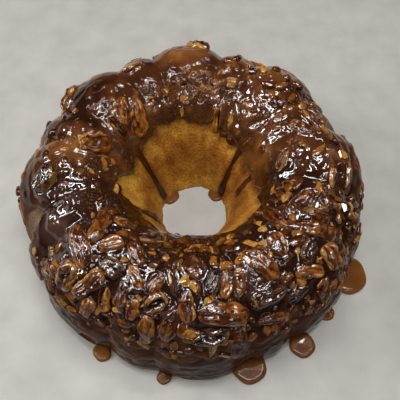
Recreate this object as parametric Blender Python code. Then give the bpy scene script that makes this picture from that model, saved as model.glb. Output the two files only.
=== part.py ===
"""Ring-shaped pound cake with fluted sides, a poured caramel glaze and pecan halves.

It stands on z = 0 with the ring's axis on Z. Azimuth is in degrees from +X towards +Y. "Across" is the
distance in mm along the ring's section, from the outer foot over the crest down to the foot of the hole.
"""

import math
import random

import bmesh
import bpy
from mathutils import Vector

MM = 0.001

# The ring's section as (distance from the axis, height) in mm, along the crests of the big lobes.
SECTION = (
    (118.0, 0.0),
    (121.0, 14.0),
    (118.0, 42.0),
    (107.0, 67.0),
    (81.0, 82.0),
    (55.0, 71.0),
    (39.0, 45.0),
    (28.0, 18.0),
    (23.0, 0.0),
)

# Eight broad lobes with a narrow ridge between each two.
LOBE_PITCH = 45.0
FIRST_LOBE = 3.0
LOBE_HALF_WIDTH = 15.0
RIDGE_HALF_WIDTH = 7.5
RIDGE_DROP = 0.42
# How deep the valleys are, in mm, at each distance across.
VALLEY_DEPTH = ((0, 3.4), (30, 5.2), (60, 7.2), (78, 7.0), (100, 4.0), (125, 2.0), (160, 1.2), (209, 0.8))

AROUND = 96
ROWS = 17

# The side sags here, between azimuth 15 and 40, and the whole ring is a little narrower on this side.
SAG_AZIMUTH = 27.0
SAG_WIDTH = 10.0
SAG_DEPTH = 4.5
LEAN = 2.6

# The glaze stands out as a skirt round part of the foot.
SKIRT_FROM = 246.0
SKIRT_TO = 283.0
SKIRT_OUT = 3.2

# Pools of glaze at the foot: azimuth, how far out, half width, height, in mm.
OUTER_POOLS = (
    (239.5, 126.0, 6.5, 2.4),
    (261.0, 125.5, 5.0, 2.2),
    (288.0, 129.5, 12.0, 3.0),
    (306.5, 131.0, 9.0, 2.8),
    (320.0, 125.0, 5.5, 2.2),
    (336.0, 134.0, 14.0, 3.2),
    (55.0, 123.0, 7.0, 2.2),
    (96.0, 125.5, 12.0, 2.8),
    (176.0, 124.0, 10.0, 2.6),
)
# Pools inside the hole: azimuth, how near the axis, half width, height.
INNER_POOLS = (
    (140.0, 17.5, 7.0, 2.4),
    (46.0, 18.0, 6.0, 2.2),
)
# Runs of glaze down the wall of the hole: azimuth, across from, across to, width, rise.
RUNS = (
    (9.0, 138, 184, 5.0, 1.5),
    (38.0, 140, 204, 5.2, 1.8),
    (150.0, 138, 203, 5.6, 1.8),
    (208.0, 140, 190, 5.0, 1.5),
    (252.0, 142, 178, 4.8, 1.5),
)

# Pecan halves: azimuth, across, heading (0 along the ring, 90 towards the hole), length, width, what is up.
PECANS = (
    (0.5, 126.0, 150, 16.5, 7.5, "back"),
    (17.0, 109.0, 33, 17.5, 7.5, "back"),
    (20.0, 100.0, 14, 18.5, 6.5, "edge"),
    (33.0, 72.0, 70, 24.0, 11.0, "back"),
    (62.0, 58.0, 10, 22.0, 10.0, "flat"),
    (70.0, 143.0, 95, 19.0, 6.5, "edge"),
    (88.0, 74.0, 120, 25.0, 11.0, "back"),
    (112.0, 52.0, 60, 21.0, 10.0, "back"),
    (119.5, 94.0, 176, 17.0, 8.5, "edge"),
    (135.0, 131.5, 63, 26.0, 10.5, "back"),
    (140.5, 121.5, 57, 19.0, 8.0, "back"),
    (146.0, 70.0, 20, 23.0, 11.0, "flat"),
    (150.5, 126.0, 81, 16.5, 7.5, "back"),
    (169.0, 117.0, 118, 23.0, 13.5, "back"),
    (189.0, 88.0, 136, 20.0, 12.5, "back"),
    (221.5, 109.5, 124, 25.0, 9.5, "back"),
    (223.5, 93.0, 156, 27.0, 11.0, "back"),
    (226.5, 75.0, 94, 19.5, 11.5, "flat"),
    (229.0, 122.0, 21, 16.5, 7.5, "back"),
    (233.0, 104.5, 53, 16.0, 8.0, "back"),
    (234.0, 79.0, 69, 24.0, 9.5, "back"),
    (236.5, 64.0, 86, 16.5, 8.0, "back"),
    (238.5, 95.0, 173, 16.0, 9.5, "back"),
    (240.5, 75.5, 105, 18.5, 8.0, "flat"),
    (245.5, 83.5, 100, 16.0, 9.0, "back"),
    (244.5, 109.0, 145, 18.0, 9.5, "back"),
    (248.5, 95.5, 138, 15.5, 7.0, "back"),
    (246.0, 124.5, 26, 19.0, 9.5, "flat"),
    (250.5, 76.0, 94, 15.5, 7.5, "back"),
    (256.5, 96.0, 64, 15.5, 7.5, "back"),
    (255.5, 63.0, 94, 22.0, 9.0, "back"),
    (257.5, 83.5, 39, 16.0, 11.0, "flat"),
    (262.0, 101.0, 110, 19.0, 6.5, "edge"),
    (263.5, 72.5, 78, 22.0, 9.0, "back"),
    (268.5, 85.0, 94, 18.5, 8.0, "back"),
    (271.5, 107.0, 114, 16.5, 10.0, "back"),
    (275.5, 65.0, 10, 21.5, 9.0, "flat"),
    (277.5, 98.5, 64, 16.5, 7.5, "back"),
    (280.5, 77.5, 161, 30.0, 13.0, "back"),
    (282.5, 95.5, 70, 16.0, 7.0, "back"),
    (283.5, 51.5, 81, 25.0, 11.0, "back"),
    (287.5, 94.5, 65, 17.0, 7.5, "back"),
    (296.0, 81.5, 6, 24.0, 12.5, "back"),
    (295.0, 64.5, 172, 17.0, 8.0, "back"),
    (298.0, 99.5, 119, 24.0, 11.0, "back"),
    (305.5, 71.0, 12, 16.5, 8.5, "back"),
    (309.0, 105.0, 73, 17.0, 9.5, "back"),
    (312.0, 79.5, 149, 18.0, 8.0, "back"),
    (316.0, 90.0, 32, 15.5, 7.5, "back"),
    (319.5, 118.0, 73, 22.0, 8.5, "back"),
    (321.0, 76.0, 77, 18.0, 10.5, "back"),
    (325.0, 92.0, 117, 25.0, 10.0, "back"),
    (331.0, 96.0, 116, 18.0, 7.5, "back"),
    (333.5, 109.5, 152, 22.0, 11.5, "back"),
    (348.0, 61.0, 100, 20.0, 10.0, "back"),
    (351.0, 94.5, 4, 17.0, 6.5, "edge"),
    (354.5, 82.0, 7, 18.0, 6.5, "edge"),
)

# Chopped pecan: azimuth, across, heading, length, width.
BITS = (
    (1.5, 103.0, 141, 11.0, 5.0),
    (6.0, 112.0, 60, 7.0, 5.0),
    (19.0, 139.0, 16, 7.5, 5.5),
    (28.5, 100.0, 110, 8.0, 5.0),
    (31.5, 116.0, 48, 7.0, 6.3),
    (36.0, 148.0, 80, 7.0, 5.5),
    (38.0, 111.0, 37, 10.0, 4.5),
    (47.5, 145.0, 31, 6.5, 4.8),
    (51.5, 154.0, 150, 6.5, 5.0),
    (54.0, 99.0, 43, 9.5, 5.0),
    (57.5, 140.0, 103, 10.8, 4.4),
    (60.5, 152.0, 21, 6.5, 4.6),
    (67.0, 115.0, 0, 9.6, 7.0),
    (69.5, 90.0, 129, 8.0, 4.8),
    (97.5, 129.5, 167, 9.0, 4.4),
    (99.5, 139.0, 70, 9.0, 4.4),
    (154.0, 93.0, 41, 6.5, 4.8),
    (168.5, 93.0, 44, 12.0, 5.7),
    (169.0, 78.0, 44, 11.0, 5.7),
    (176.0, 134.0, 79, 7.8, 5.0),
    (178.5, 88.0, 18, 9.6, 5.7),
    (182.5, 102.0, 29, 6.5, 4.4),
    (184.5, 128.0, 90, 6.5, 4.4),
    (197.5, 136.0, 138, 11.0, 7.0),
    (216.5, 79.5, 86, 11.0, 5.0),
    (232.0, 114.5, 20, 11.0, 6.0),
    (241.5, 134.5, 10, 11.0, 5.7),
    (244.0, 61.5, 91, 10.0, 6.0),
    (250.5, 113.0, 18, 5.5, 4.4),
    (250.0, 53.0, 112, 6.5, 4.4),
    (254.0, 106.5, 48, 8.0, 5.0),
    (257.5, 113.5, 33, 6.0, 4.8),
    (261.0, 119.5, 8, 7.5, 5.2),
    (264.0, 130.0, 0, 8.0, 5.6),
    (262.0, 56.0, 61, 8.5, 4.8),
    (269.0, 55.5, 11, 6.6, 5.7),
    (275.5, 51.5, 90, 8.3, 5.6),
    (279.5, 111.0, 80, 10.0, 5.0),
    (288.5, 118.0, 123, 7.5, 5.6),
    (289.0, 67.0, 170, 6.0, 4.6),
    (293.5, 127.0, 9, 6.5, 4.9),
    (295.5, 50.5, 136, 7.3, 4.9),
    (299.5, 114.5, 144, 10.0, 5.7),
    (303.0, 58.0, 36, 9.5, 7.5),
    (303.5, 125.0, 116, 9.0, 6.5),
    (309.5, 118.0, 73, 6.7, 5.6),
    (312.0, 61.5, 120, 10.0, 5.7),
    (313.5, 68.5, 20, 8.0, 4.4),
    (321.0, 60.0, 97, 8.7, 5.6),
    (333.0, 82.5, 111, 8.0, 4.4),
    (338.5, 93.5, 37, 9.6, 6.3),
    (341.0, 80.0, 121, 7.5, 5.6),
    (342.5, 87.0, 105, 9.0, 5.0),
    (346.5, 83.5, 114, 6.0, 5.4),
)
# Areas strewn with finer bits: azimuth from and to, across from and to, how many.
STREWN = (
    (72.0, 128.0, 112.0, 128.0, 5),
    (22.0, 58.0, 120.0, 136.0, 3),
    (176.0, 214.0, 110.0, 124.0, 3),
    (40.0, 140.0, 40.0, 82.0, 3),
)
FINE_BIT = (4.6, 6.2)
CLEAR = 0.6

PECAN_THICKNESS = 0.62  # of its width
PECAN_SUNK = 0.30  # of its thickness
BIT_SUNK = 0.34
PECAN_GAP = 0.35  # mm between a pecan and the glaze under it

STATIONS_ALONG = (-0.8, -0.3, 0.3, 0.8)
# One cross-section of a half with its ridged back up, one with its furrowed flat side up: (across, up), from 0 to 1.
BACK_UP = (
    (-0.55, 0.0),
    (0.55, 0.0),
    (1.0, 0.34),
    (0.78, 0.76),
    (0.38, 0.66),
    (0.0, 1.0),
    (-0.38, 0.66),
    (-0.78, 0.76),
    (-1.0, 0.34),
)
FLAT_UP = (
    (-0.5, 0.0),
    (0.5, 0.0),
    (0.95, 0.46),
    (0.76, 0.94),
    (0.30, 0.80),
    (0.0, 0.46),
    (-0.30, 0.80),
    (-0.76, 0.94),
    (-0.95, 0.46),
)


def section_curve():
    """Points 1 mm apart along the section, on a smooth curve through its stations."""
    stations = [Vector(p) for p in SECTION]
    stations = [2 * stations[0] - stations[1]] + stations + [2 * stations[-1] - stations[-2]]
    fine = []
    for i in range(1, len(stations) - 2):
        p0, p1, p2, p3 = stations[i - 1 : i + 3]
        knots = [0.0]
        for a, b in ((p0, p1), (p1, p2), (p2, p3)):
            knots.append(knots[-1] + math.sqrt((b - a).length))
        for step in range(40):
            u = knots[1] + (knots[2] - knots[1]) * step / 40
            a1 = p0.lerp(p1, (u - knots[0]) / (knots[1] - knots[0]))
            a2 = p1.lerp(p2, (u - knots[1]) / (knots[2] - knots[1]))
            a3 = p2.lerp(p3, (u - knots[2]) / (knots[3] - knots[2]))
            b1 = a1.lerp(a2, (u - knots[0]) / (knots[2] - knots[0]))
            b2 = a2.lerp(a3, (u - knots[1]) / (knots[3] - knots[1]))
            fine.append(b1.lerp(b2, (u - knots[1]) / (knots[2] - knots[1])))
    fine.append(stations[-2])
    points = [fine[0]]
    walked = 0.0
    for a, b in zip(fine, fine[1:]):
        length = (b - a).length
        while walked + length >= len(points):
            points.append(a.lerp(b, (len(points) - walked) / length))
        walked += length
    points.append(fine[-1])
    return points


CURVE = section_curve()
LENGTH = len(CURVE) - 1.0


def along_curve(across):
    """The section's point and its outward normal at a distance across."""
    across = min(max(across, 0.0), LENGTH)
    i = min(int(across), len(CURVE) - 2)
    point = CURVE[i].lerp(CURVE[i + 1], across - i)
    before = CURVE[max(i - 2, 0)]
    after = CURVE[min(i + 3, len(CURVE) - 1)]
    run = (after - before).normalized()
    return point, Vector((run.y, -run.x))


def interpolate(pairs, x):
    for (x0, y0), (x1, y1) in zip(pairs, pairs[1:]):
        if x <= x1:
            return y0 + (y1 - y0) * max(x - x0, 0.0) / (x1 - x0)
    return pairs[-1][1]


def turn_between(a, b):
    """The signed turn from azimuth b to azimuth a, from -180 to 180."""
    return (a - b + 180.0) % 360.0 - 180.0


def valley(azimuth):
    """0 on the crest of a lobe, 1 in the valley beside it."""
    turn = (azimuth - FIRST_LOBE + LOBE_HALF_WIDTH) % LOBE_PITCH - LOBE_HALF_WIDTH
    if turn <= LOBE_HALF_WIDTH:
        return abs(turn / LOBE_HALF_WIDTH) ** 2.4
    turn -= LOBE_HALF_WIDTH + RIDGE_HALF_WIDTH
    return RIDGE_DROP + (1 - RIDGE_DROP) * abs(turn / RIDGE_HALF_WIDTH) ** 2


def ring_point(azimuth, across, lift=0.0):
    """A point of the ring's surface, in mm, lifted along the section's normal."""
    point, normal = along_curve(across)
    outer = max(0.0, 1 - across / 105.0)
    sink = interpolate(VALLEY_DEPTH, across) * valley(azimuth)
    shoulder = math.exp(-(((across - 62.0) / 32.0) ** 2))
    sink += SAG_DEPTH * shoulder * math.exp(-((turn_between(azimuth, SAG_AZIMUTH) / SAG_WIDTH) ** 2))
    a = math.radians(azimuth)
    sink += LEAN * outer * (0.5 + 0.5 * math.cos(a))
    sink += 0.6 * outer * math.sin(3 * a + 0.7) + 0.4 * math.sin(5 * a + across / 30.0)
    r = point.x + normal.x * (lift - sink)
    z = point.y + normal.y * (lift - sink)
    z += point.y / 82.0 * (0.9 * math.sin(a + 2.2) + 0.5 * math.sin(3 * a + 1.1))
    if across < 16.0 and SKIRT_FROM - 4 < azimuth % 360.0 < SKIRT_TO + 4:
        along = (azimuth % 360.0 - SKIRT_FROM + 4) / (SKIRT_TO - SKIRT_FROM + 8)
        r += SKIRT_OUT * (1 - across / 16.0) * min(1.0, 3 * math.sin(math.pi * along))
    return Vector((r * math.cos(a), r * math.sin(a), z))


def ring_frame(azimuth, across):
    """Unit vectors along the ring, towards the hole and out of the surface, with the flutes left out."""
    a = math.radians(azimuth)
    _, normal = along_curve(across)
    tangent = Vector((-math.sin(a), math.cos(a), 0.0))
    out = Vector((normal.x * math.cos(a), normal.x * math.sin(a), normal.y))
    return tangent, out.cross(tangent), out


def new_object(name, bm, material):
    bmesh.ops.recalc_face_normals(bm, faces=bm.faces)
    mesh = bpy.data.meshes.new(name)
    bm.to_mesh(mesh)
    bm.free()
    obj = bpy.data.objects.new(name, mesh)
    bpy.context.scene.collection.objects.link(obj)
    if material:
        mesh.materials.append(material)
    return obj


def skin(bm, loops, first_tip=None, last_tip=None):
    """Joins closed loops of vertices, and closes each end with a fan to its tip or with one face."""
    loops = [[bm.verts.new(p * MM) for p in loop] for loop in loops]
    count = len(loops[0])
    for low, high in zip(loops, loops[1:]):
        for k in range(count):
            bm.faces.new((low[k], low[(k + 1) % count], high[(k + 1) % count], high[k]))
    for loop, tip in ((loops[0], first_tip), (loops[-1], last_tip)):
        if tip is None:
            bm.faces.new(loop)
            continue
        end = bm.verts.new(tip * MM)
        for k in range(count):
            bm.faces.new((loop[k], loop[(k + 1) % count], end))


def ring_mesh(lift=0.0):
    """The ring as a closed mesh, standing on z = 0. A lifted one is larger all round."""
    bm = bmesh.new()
    loops = []
    for row in range(ROWS):
        across = LENGTH * row / (ROWS - 1)
        loop = []
        for step in range(AROUND):
            azimuth = FIRST_LOBE + 360.0 * step / AROUND
            point = ring_point(azimuth, across, lift)
            if row in (0, ROWS - 1):
                point.z = -lift
            loop.append(bm.verts.new(point * MM))
        loops.append(loop)
    loops.append(loops[0])
    for low, high in zip(loops, loops[1:]):
        for k in range(AROUND):
            bm.faces.new((low[k], low[(k + 1) % AROUND], high[(k + 1) % AROUND], high[k]))
    bmesh.ops.triangulate(bm, faces=bm.faces)
    return bm


def pool_mesh(azimuth, reach, half_width, height, inward=False):
    """A low dome with a steep rounded edge. It starts under the cake's foot."""
    a = math.radians(azimuth)
    along = Vector((-math.sin(a), math.cos(a), 0.0))
    out = Vector((math.cos(a), math.sin(a), 0.0)) * (-1.0 if inward else 1.0)
    depth = half_width * 0.95
    centre = out * ((-reach if inward else reach) - depth)
    count = 10
    loops = []
    for scale, up in ((0.97, 0.0), (1.0, 0.35), (0.8, 0.86)):
        loop = []
        for k in range(count):
            t = 2 * math.pi * k / count
            wobble = 1 + 0.05 * math.sin(2 * t + azimuth)
            side = along * math.cos(t) * half_width
            loop.append(centre + (side + out * math.sin(t) * depth) * scale * wobble + Vector((0, 0, up * height)))
        loops.append(loop)
    bm = bmesh.new()
    skin(bm, loops, None, centre + Vector((0, 0, height)))
    return bm


def run_mesh(azimuth, start, end, width, rise):
    """A bead of glaze down the wall, with a fuller end."""
    loops = []
    steps = 6
    for step in range(steps):
        t = step / (steps - 1)
        across = start + (end - start) * t
        here = azimuth + 1.6 * math.sin(3.0 * t + azimuth)
        centre = ring_point(here, across, -0.4)
        tangent, _, out = ring_frame(here, across)
        swell = 0.75 + 0.35 * t * t
        if step == 0:
            swell = 0.3
        loop = []
        for k in range(6):
            turn = 2 * math.pi * k / 6
            side = tangent * math.cos(turn) * width / 2 * swell
            loop.append(centre + side + out * math.sin(turn) * (rise + 0.4) * swell)
        loops.append(loop)
    tip = ring_point(azimuth + 1.6 * math.sin(3.0 + azimuth), min(end + width * 0.3, LENGTH), -0.3)
    bm = bmesh.new()
    skin(bm, loops, None, tip)
    return bm


def bit_mesh(azimuth, across, heading, length, width, rng):
    """A chopped piece: a rough block, sunk into the glaze."""
    tangent, inward, out = ring_frame(azimuth, across)
    h = math.radians(heading)
    axis = tangent * math.cos(h) + inward * math.sin(h)
    side = out.cross(axis)
    thick = width * 0.72
    centre = ring_point(azimuth, across, thick * (0.5 - BIT_SUNK))
    bm = bmesh.new()
    bmesh.ops.create_cube(bm, size=1.6)
    bmesh.ops.triangulate(bm, faces=bm.faces)
    for vert in bm.verts:
        x, y, z = (c * rng.uniform(0.8, 1.1) for c in vert.co)
        place = centre + axis * x * length / 2 + side * y * width / 2 + out * z * thick / 2
        vert.co = place * MM
    return bm


def pecan_mesh(azimuth, across, heading, length, width, up, rng):
    """Half a pecan kernel lying on the surface, its ends drooping to follow it."""
    tangent, inward, out = ring_frame(azimuth, across)
    h = math.radians(heading)
    axis = tangent * math.cos(h) + inward * math.sin(h)
    thick = width * PECAN_THICKNESS
    radius = ring_point(azimuth, across).xy.length
    centre = ring_point(azimuth, across)

    heights = []
    for t in (-0.8, -0.4, 0.0, 0.4, 0.8):
        go = axis * t * length / 2
        there = ring_point(azimuth + math.degrees(go.dot(tangent) / radius), across + go.dot(inward))
        heights.append((there - centre).dot(out))
    droop = 0.5 * (heights[2] - (heights[0] + heights[4]) / 2)
    lean = 0.7 * (heights[4] - heights[0]) / (0.8 * length)
    axis = (axis + out * lean).normalized()
    side = out.cross(axis).normalized()
    out = axis.cross(side)
    roll = math.radians(rng.uniform(-9, 9))
    if up == "edge":
        roll += math.radians(58)
    side, out = (
        side * math.cos(roll) + out * math.sin(roll),
        out * math.cos(roll) - side * math.sin(roll),
    )

    outline = FLAT_UP if up == "flat" else BACK_UP
    loops = []
    for t in STATIONS_ALONG:
        full = (1 - abs(t) ** 2.6) ** 0.5
        loop = []
        for x, y in outline:
            bend = -droop * (t / 0.8) ** 2
            height = (y - PECAN_SUNK) * thick * full**0.8
            loop.append(centre + axis * t * length / 2 + side * x * full * width / 2 + out * (height + bend))
        loops.append(loop)
    tips = []
    for t in (-1.0, 1.0):
        tips.append(centre + axis * t * length / 2 + out * (0.05 * thick - droop * 1.4))
    bm = bmesh.new()
    skin(bm, loops, *tips)
    return bm


def nut_samples():
    """Points and radii that stand for every listed nut, so that the finer bits keep clear of them."""
    samples = []
    for azimuth, across, heading, length, width, _ in PECANS:
        samples += samples_of(azimuth, across, heading, length, width)
    for azimuth, across, heading, length, width in BITS:
        samples += samples_of(azimuth, across, heading, length, width)
    return samples


def samples_of(azimuth, across, heading, length, width):
    tangent, inward, _ = ring_frame(azimuth, across)
    h = math.radians(heading)
    axis = tangent * math.cos(h) + inward * math.sin(h)
    centre = ring_point(azimuth, across)
    return [(centre + axis * t * length / 2, width / 2) for t in (-0.8, -0.4, 0.0, 0.4, 0.8)]


def strewn_bits(rng):
    """Fine bits scattered over the areas named above, clear of the nuts and of each other."""
    taken = nut_samples()
    found = []
    for from_azimuth, to_azimuth, from_across, to_across, count in STREWN:
        placed = 0
        for _ in range(400):
            azimuth = rng.uniform(from_azimuth, to_azimuth)
            across = rng.uniform(from_across, to_across)
            size = rng.uniform(*FINE_BIT)
            here = ring_point(azimuth, across)
            if any((here - there).length < radius + size * 0.6 + CLEAR for there, radius in taken):
                continue
            taken.append((here, size / 2))
            found.append((azimuth, across, rng.uniform(0, 180), size, size * 0.8))
            placed += 1
            if placed == count:
                break
    return found


def principled(name, color, roughness, coat):
    material = bpy.data.materials.new(name)
    material.use_nodes = True
    shader = material.node_tree.nodes["Principled BSDF"]
    shader.inputs["Base Color"].default_value = (*color, 1.0)
    shader.inputs["Roughness"].default_value = roughness
    shader.inputs["Coat Weight"].default_value = coat
    return material


def apply_modifiers(obj):
    graph = bpy.context.evaluated_depsgraph_get()
    mesh = bpy.data.meshes.new_from_object(obj.evaluated_get(graph))
    obj.modifiers.clear()
    obj.data = mesh


def keep_largest(obj):
    """Drops scrap that a cut leaves loose beside the main body."""
    bm = bmesh.new()
    bm.from_mesh(obj.data)
    left = set(bm.verts)
    bodies = []
    while left:
        stack = [left.pop()]
        body = list(stack)
        while stack:
            for edge in stack.pop().link_edges:
                for vert in edge.verts:
                    if vert in left:
                        left.remove(vert)
                        stack.append(vert)
                        body.append(vert)
        bodies.append(body)
    bodies.sort(key=len)
    for body in bodies[:-1]:
        bmesh.ops.delete(bm, geom=body, context="VERTS")
    bm.to_mesh(obj.data)
    bm.free()


for old in list(bpy.data.objects):
    bpy.data.objects.remove(old)

rng = random.Random(7)
cake_material = principled("glazed_cake", (0.105, 0.042, 0.018), 0.22, 0.8)
pecan_materials = {
    "back": principled("pecan_skin", (0.25, 0.085, 0.022), 0.3, 0.6),
    "flat": principled("pecan_flat_side", (0.34, 0.15, 0.035), 0.32, 0.6),
    "edge": principled("pecan_broken_edge", (0.46, 0.27, 0.09), 0.38, 0.5),
}

# The ring, then everything that is part of the same body with it: pools, runs and chopped pecan.
cake = new_object("cake", ring_mesh(), cake_material)
fused = bpy.data.collections.new("fused_to_cake")
bpy.context.scene.collection.children.link(fused)


def fuse(name, bm):
    obj = new_object(name, bm, None)
    bpy.context.scene.collection.objects.unlink(obj)
    fused.objects.link(obj)
    obj.hide_render = True


for index, pool in enumerate(OUTER_POOLS):
    fuse(f"pool_{index + 1}", pool_mesh(*pool))
for index, pool in enumerate(INNER_POOLS):
    fuse(f"hole_pool_{index + 1}", pool_mesh(*pool, inward=True))
for index, run in enumerate(RUNS):
    fuse(f"run_{index + 1}", run_mesh(*run))
for index, bit in enumerate(list(BITS) + strewn_bits(rng)):
    fuse(f"bit_{index + 1}", bit_mesh(*bit, rng))

union = cake.modifiers.new("fuse", "BOOLEAN")
union.operation = "UNION"
union.operand_type = "COLLECTION"
union.collection = fused
union.solver = "EXACT"
apply_modifiers(cake)
for obj in list(fused.objects):
    bpy.data.objects.remove(obj)
bpy.data.collections.remove(fused)
keep_largest(cake)

# Each pecan half is cut where it sinks into the glaze, with a small gap all round.
bed = new_object("bed_for_pecans", ring_mesh(PECAN_GAP), None)
bed.hide_render = True
bed.display_type = "WIRE"
for index, (azimuth, across, heading, length, width, up) in enumerate(PECANS):
    bm = pecan_mesh(azimuth, across, heading, length, width, up, rng)
    pecan = new_object(f"pecan_{index + 1:02d}", bm, pecan_materials[up])
    cut = pecan.modifiers.new("bed", "BOOLEAN")
    cut.operation = "DIFFERENCE"
    cut.object = bed
    cut.solver = "EXACT"
    apply_modifiers(pecan)
    keep_largest(pecan)
bpy.data.objects.remove(bed)
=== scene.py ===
"""A ring pound cake with caramel glaze and pecans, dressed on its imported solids, in metres.

The cake stands on z = 0 round the Z axis. Azimuth is in degrees from +X towards +Y. "Across" is the distance
in mm along the ring's section, from the outer foot over the crest down to the foot of the hole.
"""

import itertools
import math
import random

import bmesh
import bpy
import numpy as np
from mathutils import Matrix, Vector


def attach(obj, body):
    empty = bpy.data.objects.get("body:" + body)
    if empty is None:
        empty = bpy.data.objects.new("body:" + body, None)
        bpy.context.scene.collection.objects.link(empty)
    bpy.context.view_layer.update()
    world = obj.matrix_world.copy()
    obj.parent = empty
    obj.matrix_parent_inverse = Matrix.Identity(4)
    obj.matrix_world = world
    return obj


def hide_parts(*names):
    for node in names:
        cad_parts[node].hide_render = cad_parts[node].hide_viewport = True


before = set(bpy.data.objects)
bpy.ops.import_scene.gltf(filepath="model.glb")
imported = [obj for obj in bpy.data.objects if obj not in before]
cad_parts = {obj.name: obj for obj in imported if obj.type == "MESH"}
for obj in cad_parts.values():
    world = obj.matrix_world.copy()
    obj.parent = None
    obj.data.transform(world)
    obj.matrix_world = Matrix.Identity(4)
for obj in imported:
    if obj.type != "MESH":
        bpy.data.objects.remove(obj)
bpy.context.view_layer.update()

# The view: taken by hand over the near side of the table, about 61 degrees above it, through a plain
# moderate lens with no shift.
def add_object(name, data):
    obj = bpy.data.objects.new(name, data)
    bpy.context.scene.collection.objects.link(obj)
    return obj


camera_data = bpy.data.cameras.new("camera")
camera_data.sensor_width = 36.0
camera_data.lens = 46.8
camera = add_object("camera", camera_data)
bpy.context.scene.camera = camera
camera.location = (0.0044, -0.1796, 0.3537)
camera_aim = Vector((0.0044, -0.0092, 0.040))
camera.rotation_euler = (camera_aim - camera.location).to_track_quat("-Z", "Y").to_euler()


# The table: a plain pale stone top, cut flat and rubbed to a dull finish, with a faint cloudy mottle.
# It carries the cake and isn't part of it.
def new_material(name):
    material = bpy.data.materials.new(name)
    material.use_nodes = True
    return material, material.node_tree, material.node_tree.nodes["Principled BSDF"]


def ramp(tree, factor, *stops):
    """A colour ramp through (position, colour) stops."""
    node = tree.nodes.new("ShaderNodeValToRGB")
    elements = node.color_ramp.elements
    while len(elements) < len(stops):
        elements.new(0.5)
    for element, (position, colour) in zip(elements, stops):
        element.position = position
        element.color = (*colour, 1.0)
    tree.links.new(factor, node.inputs["Fac"])
    return node.outputs["Color"]


def plug(tree, node, values):
    """Gives a node's inputs their values, each a number, a colour or another node's output."""
    for key, value in values.items():
        socket = node.inputs[key]
        if isinstance(value, bpy.types.NodeSocket):
            tree.links.new(value, socket)
        else:
            socket.default_value = (*value, 1.0) if socket.type == "RGBA" else value


def reckon(tree, operation, first, second):
    node = tree.nodes.new("ShaderNodeMath")
    node.operation = operation
    plug(tree, node, {0: first, 1: second})
    return node.outputs[0]


def new_group(name, output, **inputs):
    """An empty node group with one named output and named inputs, each with its usual value."""
    group = bpy.data.node_groups.new(name, "ShaderNodeTree")
    for label, value in inputs.items():
        kind = "NodeSocketVector" if isinstance(value, tuple) else "NodeSocketFloat"
        group.interface.new_socket(label, in_out="INPUT", socket_type=kind).default_value = value
    group.interface.new_socket(output, in_out="OUTPUT", socket_type="NodeSocketFloat")
    return group, group.nodes.new("NodeGroupInput").outputs, group.nodes.new("NodeGroupOutput").inputs


def placed(tree, group, **values):
    """A node group placed in a material with its own values, each a number or a socket."""
    node = tree.nodes.new("ShaderNodeGroup")
    node.node_tree = group
    plug(tree, node, values)
    return node.outputs[0]


# A mottle in the object's own coordinates, for stone, crumb, caramel and nut alike, its lumps about Size mm
# across.
mottle, given, result = new_group("mottle", "Mottle", Size=8.0, Detail=3.0, Stretch=(1.0, 1.0, 1.0))
own_place = mottle.nodes.new("ShaderNodeTexCoord")
stretched = mottle.nodes.new("ShaderNodeMapping")
plug(mottle, stretched, {"Vector": own_place.outputs["Object"], "Scale": given["Stretch"]})
cloud = mottle.nodes.new("ShaderNodeTexNoise")
plug(mottle, cloud, {"Vector": stretched.outputs["Vector"], "Detail": given["Detail"]})
plug(mottle, cloud, {"Scale": reckon(mottle, "DIVIDE", 1000.0, given["Size"])})
mottle.links.new(cloud.outputs["Fac"], result["Mottle"])

table_material, tree, shader = new_material("pale_stone")
clouds = placed(tree, mottle, Size=22.0, Detail=6.0)
stone = ramp(tree, clouds, (0.3, (0.252, 0.240, 0.221)), (0.7, (0.306, 0.292, 0.269)))
plug(tree, shader, {"Base Color": stone, "Roughness": 0.55})
table_mesh = bpy.data.meshes.new("table_top")
half_side = 2.5
corners = [(x * half_side, y * half_side, 0) for x, y in ((-1, -1), (1, -1), (1, 1), (-1, 1))]
table_mesh.from_pydata(corners, [], [(0, 1, 2, 3)])
table_mesh.materials.append(table_material)
table_top = add_object("table_top", table_mesh)


# The light: a broad soft ceiling, two window panels with bars on the left, and thin tubes above and around
# the table, whose reflections draw the fine white lines on the glaze.
def lamp(name, place, width, height, watts, colour=(1.0, 1.0, 1.0), aim=(0, 0, 0.05)):
    data = bpy.data.lights.new(name, "AREA")
    data.shape = "RECTANGLE"
    data.size = width
    data.size_y = height
    data.energy = watts
    data.color = colour
    light = add_object(name, data)
    light.location = place
    light.rotation_euler = (Vector(aim) - Vector(place)).to_track_quat("-Z", "Y").to_euler()


world = bpy.data.worlds.new("room")
bpy.context.scene.world = world
world.use_nodes = True
plug(world.node_tree, world.node_tree.nodes["Background"], {"Color": (0.98, 0.96, 0.94), "Strength": 0.045})
bpy.context.scene.view_settings.view_transform = "Standard"
lamp("ceiling", (0.04, 0.09, 1.10), 0.40, 0.32, 0.75, (1.0, 0.96, 0.91), (0, 0, 0))
lamp("tube_far", (0.04, 0.28, 1.07), 0.44, 0.035, 2.6)
lamp("tube_near", (0.04, -0.10, 1.07), 0.44, 0.035, 3.3)
lamp("tube_left", (-0.19, 0.09, 1.07), 0.035, 0.38, 3.1)
lamp("tube_right", (0.27, 0.09, 1.07), 0.035, 0.38, 3.1)
lamp("window", (-0.92, 0.20, 0.90), 0.60, 0.46, 1.2, (0.95, 0.93, 1.0))
lamp("window_bar_across", (-0.89, 0.19, 0.88), 0.62, 0.03, 2.8)
lamp("window_bar_up", (-0.88, 0.18, 0.87), 0.03, 0.50, 2.8)
lamp("low_window", (-1.62, -0.10, 0.98), 0.90, 0.60, 1.9, (0.95, 0.93, 1.0))
lamp("low_bar_across", (-1.58, -0.10, 0.96), 0.92, 0.045, 5.2)
lamp("low_bar_up", (-1.57, -0.10, 0.95), 0.045, 0.62, 4.2)
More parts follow.
